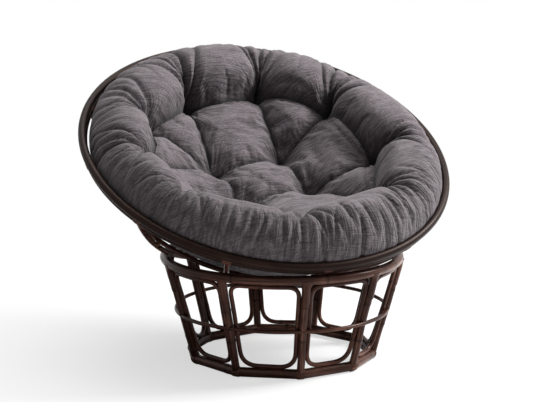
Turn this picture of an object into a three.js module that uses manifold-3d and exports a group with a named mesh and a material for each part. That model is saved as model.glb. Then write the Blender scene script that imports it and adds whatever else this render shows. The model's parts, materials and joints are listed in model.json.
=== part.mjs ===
// Papasan chair: a round tufted cushion in a tilted rattan bowl, which rests on a ring-topped base.
// Millimetres, +Z up, the chair faces -Y, and the origin is the middle of its extent on the floor.
import * as THREE from 'three';
import { mergeVertices } from 'three/addons/utils/BufferGeometryUtils.js';
import Module from 'manifold-3d';

// Fits
const touchGap = 0.3;
const bowlRestGap = 0.4;
const cushionRestGap = 0.4;
const cutOverrun = 4;

// Base: a thick round ring on top, a ring bent into straight runs below, and posts between them
const topRingRadius = 338;
const topRingHeight = 298;
const topRingPoleRadius = 13.5;
const bottomRingRadius = 264;
const bottomRingPoleRadius = 14;
const bottomCornerLength = 9;
const middleRingHeight = 147;
const middleRingPoleRadius = 5.5;
const middleRingProud = 1.5;
const postPoleRadius = 11;
const postHeadOutset = 4;
const footWrapThickness = 2;
const footWrapWidth = 22;

// The posts of the bent base aren't evenly spaced: each one's place as a share of a full turn from +X
const postTurnShares = [0.024, 0.13, 0.235, 0.345, 0.422, 0.5, 0.61, 0.7225, 0.8235, 0.9215];

// Panels: one closed loop of thin cane between each two posts
const loopCaneRadius = 6.5;
const loopPostGap = 0.6;
const loopTopCornerRadius = 24;
const loopBottomCornerRadius = 34;

// Bowl: every pole lies inside one sphere, so the bowl slides on the base's top ring as it is tilted
const bowlDepth = 343.9;
const bowlTilt = 28;
const rimOuterRadius = 550;
const rimUpperPoleRadius = 12;
const rimLowerPoleRadius = 9.5;
const ribCount = 12;
const ribPoleRadius = 8;
const hoopPoleRadius = 7;
const hubHoopRadius = 100;
const middleHoopRadius = 265;
const upperHoopRadius = 424;
const ribEndPastHub = 22;

// Cushion: heights are above the plane of the rim's upper pole
const cushionRimInset = 32;
const cushionCrestHeight = 118;
const cushionSlump = -3;
const outerTuftDepth = 96;
const outerTuftSpread = 58;
const innerTuftDepth = 46;
const innerTuftSpread = 48;
const pleatDepth = 20;
const pleatSpread = 24;

// Crown of the cushion from its lowest edge over the roll to the middle: shares of radius and of crest height
const crownShares = [
  [0.92, -0.52], [0.96, -0.24], [1, 0.1], [0.985, 0.46], [0.925, 0.8], [0.84, 0.97], [0.76, 1],
  [0.68, 0.9], [0.6, 0.64], [0.52, 0.28], [0.43, -0.14], [0.33, -0.47], [0.22, -0.64], [0.11, -0.7],
];
const crownMiddleShare = -0.72;
const undersideShares = [0.16, 0.34, 0.52, 0.7, 0.84];

// Tufts: a share of the cushion's radius, and a share of a full turn from +X
const outerTuftCount = 9;
const outerTuftRadiusShare = 0.65;
const outerTuftTurnShare = -0.011;
const innerTuftShares = [[0.33, 0.4], [0.31, 0.14], [0.33, 0.94], [0.3, 0.67]];

const fullTurn = 2 * Math.PI;
const wasm = await Module();
wasm.setup();

// Rattan and cloth finishes
function rattan(color, roughness) {
  return new THREE.MeshStandardMaterial({ color, roughness, metalness: 0 });
}
const poleFinish = rattan('#35231e', 0.42);
const caneFinish = rattan('#3d2a23', 0.45);
const bindingFinish = rattan('#45312a', 0.55);
const clothFinish = rattan('#59525a', 0.95);

function named(name, geometry, material) {
  const mesh = new THREE.Mesh(geometry, material);
  mesh.name = name;
  return mesh;
}

// A regular outline with a vertex at the given angle
function regularOutline(radius, sides, firstAngle) {
  const outline = [];
  for (let k = 0; k < sides; k++) {
    const angle = firstAngle + (k / sides) * fullTurn;
    outline.push(new THREE.Vector2(radius * Math.cos(angle), radius * Math.sin(angle)));
  }
  return outline;
}

// A solid whose outline follows a chain of points and keeps its width around each corner.
// The outline's y stays as near as it can to the direction up, and a closed chain joins its own start.
function sweep(points, outline, up, closed) {
  const count = points.length;
  const sides = outline.length;
  const positions = [];
  for (let i = 0; i < count; i++) {
    const before = points[closed ? (i + count - 1) % count : Math.max(i - 1, 0)];
    const after = points[closed ? (i + 1) % count : Math.min(i + 1, count - 1)];
    const arriving = points[i].clone().sub(before).normalize();
    const leaving = after.clone().sub(points[i]).normalize();
    const along = arriving.clone().add(leaving).normalize();
    const halfCorner = Math.max(arriving.dot(along), leaving.dot(along));
    const side = new THREE.Vector3().crossVectors(up, along).normalize();
    const lift = new THREE.Vector3().crossVectors(along, side);
    for (const corner of outline) {
      const p = points[i].clone();
      p.addScaledVector(side, corner.x / halfCorner).addScaledVector(lift, corner.y);
      positions.push(p.x, p.y, p.z);
    }
  }
  const faces = [];
  for (let i = 0; i < (closed ? count : count - 1); i++) {
    const next = (i + 1) % count;
    for (let k = 0; k < sides; k++) {
      const a = i * sides + k;
      const b = i * sides + ((k + 1) % sides);
      const c = next * sides + ((k + 1) % sides);
      const d = next * sides + k;
      faces.push(a, b, c, a, c, d);
    }
  }
  if (!closed) {
    for (let k = 1; k < sides - 1; k++) {
      faces.push(0, k + 1, k);
      const last = (count - 1) * sides;
      faces.push(last, last + k, last + k + 1);
    }
  }
  const geometry = new THREE.BufferGeometry();
  geometry.setAttribute('position', new THREE.Float32BufferAttribute(positions, 3));
  geometry.setIndex(faces);
  geometry.computeVertexNormals();
  return geometry;
}

// The solid of a closed geometry, for cuts
function solidOf(geometry) {
  const bare = geometry.clone();
  bare.deleteAttribute('normal');
  bare.deleteAttribute('uv');
  const merged = mergeVertices(bare);
  const vertProperties = Float32Array.from(merged.getAttribute('position').array);
  const triVerts = Uint32Array.from(merged.getIndex().array);
  return new wasm.Manifold(new wasm.Mesh({ numProp: 3, vertProperties, triVerts }));
}

function geometryOf(solid) {
  const mesh = solid.getMesh();
  const geometry = new THREE.BufferGeometry();
  geometry.setAttribute('position', new THREE.Float32BufferAttribute(mesh.vertProperties, 3));
  geometry.setIndex(Array.from(mesh.triVerts));
  geometry.computeVertexNormals();
  return geometry;
}

// Base rings. The wraps at the bottom ring's corners carry the chair, so the ring stands clear of the floor.
const ringSides = 12;
const ringSteps = 60;
const bottomSides = 8;
const flatShare = Math.cos(Math.PI / bottomSides);
const footWrapInnerRadius = bottomRingPoleRadius + touchGap / flatShare;
const footWrapOuterRadius = footWrapInnerRadius + footWrapThickness / flatShare;
const bottomRingHeight = footWrapOuterRadius * flatShare;

const base = new THREE.Group();
const upward = new THREE.Vector3(0, 0, 1);

const topRing = new THREE.TorusGeometry(topRingRadius, topRingPoleRadius, ringSides, ringSteps);
topRing.translate(0, 0, topRingHeight);
base.add(named('base_top_ring', topRing, poleFinish));

function ringPoint(radius, turnShare, height) {
  const angle = turnShare * fullTurn;
  return new THREE.Vector3(radius * Math.cos(angle), radius * Math.sin(angle), height);
}

const postCount = postTurnShares.length;
const feet = postTurnShares.map((share) => ringPoint(bottomRingRadius, share, bottomRingHeight));
const heads = postTurnShares.map((share) => ringPoint(topRingRadius + postHeadOutset, share, topRingHeight));

// The bottom ring turns each corner over a short arc
const cornerBendSteps = 2;
function bottomRingPoints() {
  const points = [];
  for (let i = 0; i < postCount; i++) {
    const here = feet[i];
    const before = feet[(i + postCount - 1) % postCount];
    const after = feet[(i + 1) % postCount];
    const start = here.clone().lerp(before, bottomCornerLength / here.distanceTo(before));
    const end = here.clone().lerp(after, bottomCornerLength / here.distanceTo(after));
    const bend = new THREE.QuadraticBezierCurve3(start, here, end);
    points.push(...bend.getPoints(cornerBendSteps));
  }
  return points;
}
const flatDown = Math.PI / bottomSides;
const bottomOutline = regularOutline(bottomRingPoleRadius, bottomSides, flatDown);
const bottomPath = bottomRingPoints();
base.add(named('base_bottom_ring', sweep(bottomPath, bottomOutline, upward, true), poleFinish));

// The middle ring is let into notches in the outer faces of the posts, so it stands a little proud of them
const postSlopeShare = (middleRingHeight - bottomRingHeight) / (topRingHeight - bottomRingHeight);
const postHeadRadius = topRingRadius + postHeadOutset;
const postRadiusAtMiddle = bottomRingRadius + (postHeadRadius - bottomRingRadius) * postSlopeShare;
const middleRingRadius = postRadiusAtMiddle + postPoleRadius + middleRingProud - middleRingPoleRadius;
const middleSides = 8;
function middleRing(poleRadius) {
  const ring = new THREE.TorusGeometry(middleRingRadius, poleRadius, middleSides, ringSteps);
  ring.translate(0, 0, middleRingHeight);
  return ring;
}
base.add(named('base_middle_ring', middleRing(middleRingPoleRadius), caneFinish));

// Foot wraps: a bent sleeve of cane peel around each corner of the bottom ring, of the ring's own path
function cornerPath(i, halfWidth) {
  const pointsPerPost = bottomPath.length / postCount;
  const bend = bottomPath.slice(i * pointsPerPost, (i + 1) * pointsPerPost);
  const before = feet[(i + postCount - 1) % postCount];
  const after = feet[(i + 1) % postCount];
  const first = feet[i].clone().lerp(before, halfWidth / feet[i].distanceTo(before));
  const last = feet[i].clone().lerp(after, halfWidth / feet[i].distanceTo(after));
  return [first, ...bend, last];
}

const sleeveHalfWidth = footWrapWidth / 2;
function cornerTube(i, radius, halfWidth) {
  const outline = regularOutline(radius, bottomSides, flatDown);
  return solidOf(sweep(cornerPath(i, halfWidth), outline, upward, false));
}
for (let i = 0; i < postCount; i++) {
  const outside = cornerTube(i, footWrapOuterRadius, sleeveHalfWidth);
  const inside = cornerTube(i, footWrapInnerRadius, sleeveHalfWidth + cutOverrun);
  base.add(named(`foot_wrap_${i + 1}`, geometryOf(outside.subtract(inside)), bindingFinish));
}

// Posts: straight poles from the bottom ring to the top ring, coped to both and notched for the middle ring
const postSides = 10;
const topCope = new THREE.TorusGeometry(topRingRadius, topRingPoleRadius + touchGap, ringSides, ringSteps);
topCope.translate(0, 0, topRingHeight);
const topCopeSolid = solidOf(topCope);
const notchSolid = solidOf(middleRing(middleRingPoleRadius + touchGap));
for (let i = 0; i < postCount; i++) {
  const across = new THREE.Vector3().crossVectors(upward, heads[i]).normalize();
  const outline = regularOutline(postPoleRadius, postSides, Math.PI / postSides);
  const pole = solidOf(sweep([feet[i], heads[i]], outline, across, false));
  const footCope = cornerTube(i, footWrapOuterRadius + touchGap, sleeveHalfWidth + cutOverrun);
  const post = pole.subtract(topCopeSolid).subtract(footCope).subtract(notchSolid);
  base.add(named(`post_${i + 1}`, geometryOf(post), poleFinish));
}

// Panel loops: the side runs lie along the posts, and the end runs follow the two rings
// They are set back toward the inside of the base, so the middle ring passes around them
const loopSetback = loopCaneRadius + touchGap + 2 * middleRingPoleRadius - postPoleRadius - middleRingProud;
const sideInset = postPoleRadius + loopCaneRadius + loopPostGap;
const topInset = topRingPoleRadius + loopCaneRadius + touchGap;
const bottomInset = bottomRingPoleRadius + loopCaneRadius + touchGap;
const loopSides = 6;
const cornerSteps = 3;
const topRunSteps = 4;

// A point of the slanted panel: across from one post to the next, and up from foot to head
function panelPoint(i, acrossShare, upShare) {
  const next = (i + 1) % postCount;
  const turn = (postTurnShares[next] - postTurnShares[i] + 1) % 1;
  const low = feet[i].clone().lerp(feet[next], acrossShare);
  const high = ringPoint(postHeadRadius, postTurnShares[i] + turn * acrossShare, topRingHeight);
  const inward = low.clone().setZ(0).normalize().multiplyScalar(-loopSetback);
  return low.lerp(high, upShare).add(inward);
}

function panelLoop(i) {
  const height = panelPoint(i, 0.5, 0).distanceTo(panelPoint(i, 0.5, 1));
  const widthAt = (upShare) => panelPoint(i, 0, upShare).distanceTo(panelPoint(i, 1, upShare));
  // Flat corners of the loop, across and up from the middle of the panel's foot
  const sideAt = (up) => widthAt(up / height) / 2 - sideInset;
  const low = bottomInset;
  const high = height - topInset;
  const corners = [
    { x: -sideAt(low), y: low, round: loopBottomCornerRadius },
    { x: sideAt(low), y: low, round: loopBottomCornerRadius },
    { x: sideAt(high), y: high, round: loopTopCornerRadius, runSteps: topRunSteps },
    { x: -sideAt(high), y: high, round: loopTopCornerRadius },
  ];
  const flat = [];
  corners.forEach((corner, k) => {
    const here = new THREE.Vector2(corner.x, corner.y);
    const before = corners[(k + corners.length - 1) % corners.length];
    const after = corners[(k + 1) % corners.length];
    const back = new THREE.Vector2(before.x, before.y).sub(here).normalize();
    const on = new THREE.Vector2(after.x, after.y).sub(here).normalize();
    const half = Math.acos(back.dot(on)) / 2;
    const toCentre = back.clone().add(on).normalize();
    const centre = here.clone().addScaledVector(toCentre, corner.round / Math.sin(half));
    const start = here.clone().addScaledVector(back, corner.round / Math.tan(half)).sub(centre);
    const turn = Math.PI - 2 * half;
    for (let s = 0; s <= cornerSteps; s++) {
      const spoke = start.clone().rotateAround(new THREE.Vector2(), (turn * s) / cornerSteps);
      flat.push(centre.clone().add(spoke));
    }
    // The run along the top ring is bent, so it has points of its own
    const from = flat[flat.length - 1].x;
    for (let s = 1; s < (corner.runSteps ?? 0); s++) {
      flat.push(new THREE.Vector2(from - (2 * from * s) / corner.runSteps, high));
    }
  });
  const points = flat.map((p) => panelPoint(i, 0.5 + p.x / widthAt(p.y / height), p.y / height));
  const outward = panelPoint(i, 0.5, 0.5).setZ(0).normalize();
  return sweep(points, regularOutline(loopCaneRadius, loopSides, 0), outward, true);
}
for (let i = 0; i < postCount; i++) {
  base.add(named(`panel_loop_${i + 1}`, panelLoop(i), caneFinish));
}

// Bowl, in a group whose origin is the middle of the sphere and whose +Z is the bowl's axis.
// The sphere touches the upper rim pole, and is the bowl's depth deep below the middle of that pole.
const rimUpperRadius = rimOuterRadius - rimUpperPoleRadius;
const squaresSum = rimUpperRadius ** 2 + bowlDepth ** 2 - rimUpperPoleRadius ** 2;
const bowlSphereRadius = squaresSum / (2 * (bowlDepth - rimUpperPoleRadius));

// The two rim poles lie flat to flat, the lower one under the upper one and inside the same sphere
const upperPoleReach = bowlSphereRadius - rimUpperPoleRadius;
const lowerPoleReach = bowlSphereRadius - rimLowerPoleRadius;
const rimDrop = Math.sqrt(upperPoleReach ** 2 - rimUpperRadius ** 2);
const rimSides = 8;
const rimFlatShare = Math.cos(Math.PI / rimSides);
const rimPoleSpacing = (rimUpperPoleRadius + rimLowerPoleRadius) * rimFlatShare + touchGap;
const rimUpperAngle = Math.atan2(rimUpperRadius, rimDrop);
const nestCosine = upperPoleReach ** 2 + lowerPoleReach ** 2 - rimPoleSpacing ** 2;
const rimLowerAngle = rimUpperAngle - Math.acos(nestCosine / (2 * upperPoleReach * lowerPoleReach));

// A round hoop of pole at an angle from the bowl's lowest point, at a reach from the middle of the sphere
function hoop(reach, angle, poleRadius, sides, steps) {
  const ring = new THREE.TorusGeometry(reach * Math.sin(angle), poleRadius, sides, steps);
  ring.translate(0, 0, -reach * Math.cos(angle));
  return ring;
}

const bowl = new THREE.Group();
const rimSteps = 64;
const ribSides = 6;
const hoopSides = 8;
const hoopSteps = 40;
const rimUpper = hoop(upperPoleReach, rimUpperAngle, rimUpperPoleRadius, rimSides, rimSteps);
const rimLower = hoop(lowerPoleReach, rimLowerAngle, rimLowerPoleRadius, rimSides, rimSteps);
bowl.add(named('rim_upper_pole', rimUpper, poleFinish));
bowl.add(named('rim_lower_pole', rimLower, poleFinish));

// Ribs: arcs on the sphere from just past the hub hoop to under the lower rim pole
const ribReach = bowlSphereRadius - ribPoleRadius;
const ribStart = Math.asin((hubHoopRadius - ribEndPastHub) / ribReach);
const ribEnd = rimLowerAngle - (rimLowerPoleRadius + touchGap) / ribReach;
const ribSteps = 14;
for (let r = 0; r < ribCount; r++) {
  const turnShare = r / ribCount;
  const points = [];
  for (let s = 0; s <= ribSteps; s++) {
    const angle = ribStart + ((ribEnd - ribStart) * s) / ribSteps;
    points.push(ringPoint(ribReach * Math.sin(angle), turnShare, -ribReach * Math.cos(angle)));
  }
  const across = new THREE.Vector3().crossVectors(upward, points[ribSteps]).normalize();
  const rib = sweep(points, regularOutline(ribPoleRadius, ribSides, 0), across, false);
  bowl.add(named(`bowl_rib_${r + 1}`, rib, poleFinish));
}

// Hoops lie inside the ribs, clear of the straight runs between their bends, and carry the cushion
const ribRunReach = ribReach * Math.cos((ribEnd - ribStart) / ribSteps / 2);
const hoopReach = ribRunReach - ribPoleRadius - touchGap - hoopPoleRadius;
const hoopRadii = { hub: hubHoopRadius, middle: middleHoopRadius, upper: upperHoopRadius };
for (const [place, radius] of Object.entries(hoopRadii)) {
  const ring = hoop(hoopReach, Math.asin(radius / hoopReach), hoopPoleRadius, hoopSides, hoopSteps);
  bowl.add(named(`bowl_${place}_hoop`, ring, caneFinish));
}

// Cushion: a filled round pad, dished by the bowl below, with a thick roll all round and sewn tufts
// The upper hoop's straight runs come nearest to it
const upperHoopDrop = Math.sqrt(hoopReach ** 2 - upperHoopRadius ** 2);
const upperHoopRunReach = Math.hypot(upperHoopRadius * Math.cos(Math.PI / hoopSteps), upperHoopDrop);
const cushionReach = upperHoopRunReach - hoopPoleRadius - cushionRestGap;
const rimPlane = -rimDrop;
const cushionRadius = rimOuterRadius - cushionRimInset;
const tufts = [];
for (let k = 0; k < outerTuftCount; k++) {
  tufts.push({
    radius: outerTuftRadiusShare * cushionRadius,
    turnShare: outerTuftTurnShare + k / outerTuftCount,
    depth: outerTuftDepth,
    spread: outerTuftSpread,
  });
}
for (const [radiusShare, turnShare] of innerTuftShares) {
  tufts.push({
    radius: radiusShare * cushionRadius,
    turnShare,
    depth: innerTuftDepth,
    spread: innerTuftSpread,
  });
}

// How far the sewing pulls the crown down at a place: a dimple at each tuft, and a pleat outward
// of each outer one
function sewnDepth(radius, turnShare) {
  const here = ringPoint(radius, turnShare, 0);
  let depth = 0;
  for (const tuft of tufts) {
    const reach = here.distanceTo(ringPoint(tuft.radius, tuft.turnShare, 0)) / tuft.spread;
    depth = Math.max(depth, tuft.depth * Math.exp(-(reach ** 2)));
    if (tuft.depth === outerTuftDepth && radius > tuft.radius) {
      const aside = radius * Math.abs(Math.sin((turnShare - tuft.turnShare) * fullTurn));
      const ahead = Math.cos((turnShare - tuft.turnShare) * fullTurn) > 0;
      if (ahead) depth = Math.max(depth, pleatDepth * Math.exp(-((aside / pleatSpread) ** 2)));
    }
  }
  return depth;
}

// The sewing starts to pull at the third ring of the crown, and pulls in full a few rings on
const stepsPerTuft = 6;
const firstSewnRing = 2;
const sewnFadeRings = 3;

function cushionGeometry() {
  const turns = outerTuftCount * stepsPerTuft;
  const rings = [];
  for (const share of undersideShares) {
    const radius = share * cushionRadius;
    rings.push({ radius, height: -Math.sqrt(cushionReach ** 2 - radius ** 2), sewn: 0 });
  }
  crownShares.forEach(([radiusShare, heightShare], k) => {
    const sewn = Math.min(1, Math.max(0, (k - firstSewnRing) / sewnFadeRings));
    const height = rimPlane + heightShare * cushionCrestHeight;
    rings.push({ radius: radiusShare * cushionRadius, height, sewn });
  });
  const positions = [0, 0, -cushionReach];
  for (const ring of rings) {
    for (let t = 0; t < turns; t++) {
      const turnShare = outerTuftTurnShare + t / turns;
      const pulled = ring.sewn * sewnDepth(ring.radius, turnShare);
      const p = ringPoint(ring.radius, turnShare, ring.height - pulled);
      positions.push(p.x, p.y, p.z);
    }
  }
  const crown = rimPlane + crownMiddleShare * cushionCrestHeight;
  positions.push(0, 0, crown);
  const top = rings.length * turns + 1;
  const faces = [];
  for (let t = 0; t < turns; t++) {
    const next = (t + 1) % turns;
    faces.push(0, 1 + next, 1 + t);
    const last = 1 + (rings.length - 1) * turns;
    faces.push(top, last + t, last + next);
    for (let r = 0; r < rings.length - 1; r++) {
      const a = 1 + r * turns;
      const b = a + turns;
      faces.push(a + t, a + next, b + next, a + t, b + next, b + t);
    }
  }
  const geometry = new THREE.BufferGeometry();
  geometry.setAttribute('position', new THREE.Float32BufferAttribute(positions, 3));
  geometry.setIndex(faces);
  geometry.computeVertexNormals();
  return geometry;
}
const cushion = named('cushion', cushionGeometry(), clothFinish);
cushion.rotation.x = THREE.MathUtils.degToRad(cushionSlump);
bowl.add(cushion);

// The bowl rests on the top ring at any tilt, because the ring touches its sphere all round
const restReach = bowlSphereRadius + topRingPoleRadius + bowlRestGap;
bowl.position.z = topRingHeight + Math.sqrt(restReach ** 2 - topRingRadius ** 2);
bowl.rotation.x = THREE.MathUtils.degToRad(bowlTilt);

// The origin stands in the middle of the chair's extent
const chair = new THREE.Group();
chair.add(base, bowl);
chair.updateMatrixWorld(true);
const extent = new THREE.Box3().setFromObject(chair, true);
const middle = extent.getCenter(new THREE.Vector3());
chair.position.set(-middle.x, -middle.y, -extent.min.z);

export default chair;
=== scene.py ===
# Papasan chair: a round tufted cushion in a bowl of bent rattan poles, on a drum-shaped rattan base.
# Metres, +Z up, the chair faces -Y.
import json
from functools import partial
from math import asin, atan2, cos, pi, radians, sin, sqrt

import bpy
import numpy as np
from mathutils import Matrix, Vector


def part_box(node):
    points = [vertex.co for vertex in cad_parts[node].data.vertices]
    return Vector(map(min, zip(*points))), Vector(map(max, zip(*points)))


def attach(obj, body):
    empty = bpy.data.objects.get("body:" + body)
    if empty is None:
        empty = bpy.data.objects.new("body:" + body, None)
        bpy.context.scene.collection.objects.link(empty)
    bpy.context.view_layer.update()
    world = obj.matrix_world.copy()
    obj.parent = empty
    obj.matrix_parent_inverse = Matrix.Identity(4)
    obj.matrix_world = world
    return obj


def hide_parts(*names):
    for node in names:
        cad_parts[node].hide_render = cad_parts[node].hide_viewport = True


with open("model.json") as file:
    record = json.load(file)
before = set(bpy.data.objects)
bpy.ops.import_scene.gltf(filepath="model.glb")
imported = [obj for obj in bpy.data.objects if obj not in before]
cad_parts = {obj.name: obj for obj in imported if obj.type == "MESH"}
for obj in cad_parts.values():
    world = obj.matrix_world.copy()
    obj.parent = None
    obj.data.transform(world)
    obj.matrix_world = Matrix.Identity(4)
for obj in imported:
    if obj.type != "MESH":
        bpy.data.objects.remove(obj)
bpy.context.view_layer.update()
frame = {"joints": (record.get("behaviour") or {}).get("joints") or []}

# View of the chair: from its front and its own right, a little above the seat, through a long lens.
# Its turn, rise, distance and shifts come from a fit to the rim, the rings and the posts.
view_turn = radians(-21.27)
view_rise = radians(10.105)
view_distance = 4.888
view_aside = -0.0441
view_height = 0.4568
focal_pixels = 1699.6
image_width_pixels = 533
sensor_width_mm = 36


def in_scene(name, data):
    """A new object with the given data, at the scene's origin."""
    thing = bpy.data.objects.new(name, data)
    bpy.context.scene.collection.objects.link(thing)
    return thing


def turned_to(place, aim):
    """The turn that points a camera or a lamp from a place to an aim."""
    return (Vector(aim) - Vector(place)).to_track_quat("-Z", "Y").to_euler()


base_box_low, base_box_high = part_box("base_top_ring")
base_axis = (base_box_low + base_box_high) / 2
base_axis.z = 0
sideways = Vector((cos(view_turn), sin(view_turn), 0))
backward = Vector((sin(view_turn) * cos(view_rise), -cos(view_turn) * cos(view_rise), sin(view_rise)))
camera_data = bpy.data.cameras.new("camera")
camera_data.sensor_width = sensor_width_mm
camera_data.lens = sensor_width_mm * focal_pixels / image_width_pixels
camera = in_scene("camera", camera_data)
looked_at = base_axis + sideways * view_aside + Vector((0, 0, view_height))
camera.location = looked_at + backward * view_distance
camera.rotation_euler = turned_to(backward, (0, 0, 0))
bpy.context.scene.camera = camera

# Rattan poles: stems 15 to 28 mm thick, steamed, bent, and stained a dark espresso brown under satin lacquer.
# The stain shows the long fibres as fine streaks, and each stem has a faint raised ring every 20 or 30 cm.
rng = np.random.default_rng(7)


def linear(hex_colour):
    """Linear RGBA of an sRGB hex colour, by the sRGB curve."""
    channels = [int(hex_colour[i:i + 2], 16) / 255 for i in (1, 3, 5)]
    return [c / 12.92 if c <= 0.04045 else ((c + 0.055) / 1.055) ** 2.4 for c in channels] + [1]


def fill_inputs(tree, node, inputs):
    """Links each input that is given as a socket, and sets the others."""
    for name, value in inputs.items():
        if isinstance(value, bpy.types.NodeSocket):
            tree.links.new(value, node.inputs[name])
        else:
            node.inputs[name].default_value = value


def add_node(tree, kind, inputs=None, ramp=(), out=0, **settings):
    """Adds a shader node with its settings, inputs and (place, colour) ramp, and gives one of its outputs."""
    node = tree.nodes.new("ShaderNode" + kind)
    for name, value in settings.items():
        setattr(node, name, value)
    fill_inputs(tree, node, inputs or {})
    if ramp:
        elements = node.color_ramp.elements
        while len(elements) < len(ramp):
            elements.new(0.5)
        for element, (place, colour) in zip(elements, ramp):
            element.position = place
            element.color = linear(colour)
    return node.outputs[out]


def new_material(name):
    """A material with its node tree and its Principled shader."""
    material = bpy.data.materials.new(name)
    material.use_nodes = True
    return material, material.node_tree, material.node_tree.nodes["Principled BSDF"]


def stained_rattan(name, dark, middle, light, roughness, lacquer=0.09):
    """Rattan under dark stain and satin lacquer: long streaks, scars at the growth rings, worn light flecks.

    The lacquer gives long soft highlights that break up over the fibres. The real fibres are too fine to
    show, so they are drawn about three times as wide.
    """
    fibre_width_mm = 0.9
    fibre_length_mm = 70
    streak_width_mm = 4.05
    fleck_width_mm = 7.5
    patch_size_mm = 120
    fibre_share, streak_share, patch_share = 0.45, 0.3, 0.35
    scar_and_shade_brown = linear("#0c0403")
    worn_brown = linear("#85604c")
    material, tree, shader = new_material(name)
    node = partial(add_node, tree)
    metres = node("UVMap", uv_map="along", out="UV")
    stretched = node("VectorMath", {0: metres, 1: (1, fibre_width_mm / fibre_length_mm, 1)},
                     operation="MULTIPLY")
    fibres = node("TexNoise", {"Vector": stretched, "Scale": 1000 / (2 * fibre_width_mm), "Detail": 3,
                               "Roughness": 0.65})
    streaks = node("TexNoise", {"Vector": stretched, "Scale": 1000 / (2 * streak_width_mm), "Detail": 2,
                                "Roughness": 0.5})
    patches = node("TexNoise", {"Vector": node("TexCoord", out="Object"), "Scale": 1000 / patch_size_mm,
                                "Detail": 3, "Roughness": 0.55})
    worn = node("TexNoise", {"Vector": stretched, "Scale": 1000 / (2 * fleck_width_mm), "Detail": 5,
                             "Roughness": 0.75})
    fibre_tone = node("Math", {0: fibres, 1: fibre_share}, operation="MULTIPLY")
    grain = node("Math", {0: streaks, 1: streak_share, 2: fibre_tone}, operation="MULTIPLY_ADD")
    tone = node("Math", {0: patches, 1: patch_share, 2: grain}, operation="MULTIPLY_ADD")
    stain = node("ValToRGB", {0: tone}, ramp=[(0.4, dark), (0.55, middle), (0.7, light)])
    # The attribute darkens each growth ring's scar. On the peel straps it is painted shade along their edges
    # and end.
    scar_and_painted_shade = node("Attribute", attribute_name="scar_and_painted_shade", out="Fac")
    scarred_and_shaded = node("Mix", {0: scar_and_painted_shade, 6: stain, 7: scar_and_shade_brown}, out=2, data_type="RGBA")
    flecks = node("MapRange", {0: worn, 1: 0.66, 2: 0.78, 3: 0, 4: 0.5})
    coloured = node("Mix", {0: flecks, 6: scarred_and_shaded, 7: worn_brown}, out=2, data_type="RGBA")
    gloss = node("MapRange", {0: grain, 1: 0.25, 2: 0.55, 3: roughness + 0.1, 4: roughness - 0.06})
    relief = node("Bump", {"Height": grain, "Strength": 0.35, "Distance": 0.0006})
    fill_inputs(tree, shader, {"Base Color": coloured, "Roughness": gloss, "Normal": relief, "IOR": 1.5,
                               "Specular IOR Level": 0.12, "Specular Tint": linear("#ffd9c4"),
                               "Coat Weight": lacquer, "Coat Roughness": 0.12})
    return material


pole_rattan = stained_rattan("espresso_stained_rattan_pole", "#140706", "#38201a", "#7b584b", 0.28)


def rows_times_columns(rows, columns, closed):
    """Corner numbers of a grid's quads, and their steps along rows and columns.

    Quad (i, k) has the corners (i, k), (i, k + 1), (i + 1, k + 1) and (i + 1, k). Each row closes on itself.
    """
    i, k = np.meshgrid(np.arange(rows if closed else rows - 1), np.arange(columns), indexing="ij")
    i_step = np.stack([i, i, i + 1, i + 1], -1).reshape(-1, 4)
    k_step = np.stack([k, k + 1, k + 1, k], -1).reshape(-1, 4)
    return (i_step % rows) * columns + k_step % columns, i_step, k_step


def with_ends(quads, rows, columns):
    """The faces of an open tube: its quads, and a flat face over its first and its last row."""
    last = (rows - 1) * columns
    return quads.tolist() + [list(range(columns))[::-1], list(range(last, last + columns))]


def resampled(path, step, closed):
    """The same line with points an even step apart, the places of these along it, and its length."""
    line = np.vstack([path, path[:1]]) if closed else path
    lengths = np.concatenate([[0], np.cumsum(np.linalg.norm(np.diff(line, axis=0), axis=1))])
    count = max(int(round(lengths[-1] / step)), 3)
    places = np.linspace(0, lengths[-1], count if closed else count + 1, endpoint=not closed)
    return np.stack([np.interp(places, lengths, line[:, axis]) for axis in range(3)], 1), places, lengths[-1]


def unit(vectors):
    """Each vector divided by its length."""
    return vectors / np.linalg.norm(vectors, axis=-1, keepdims=True)


def square_to(path, up, closed):
    """The two directions square to a path at each of its points: sideways, and the one nearest to up."""
    ahead = unit(np.roll(path, -1, 0) - np.roll(path, 1, 0)) if closed else unit(np.gradient(path, axis=0))
    side = unit(np.cross(up, ahead))
    return side, np.cross(ahead, side)


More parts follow.
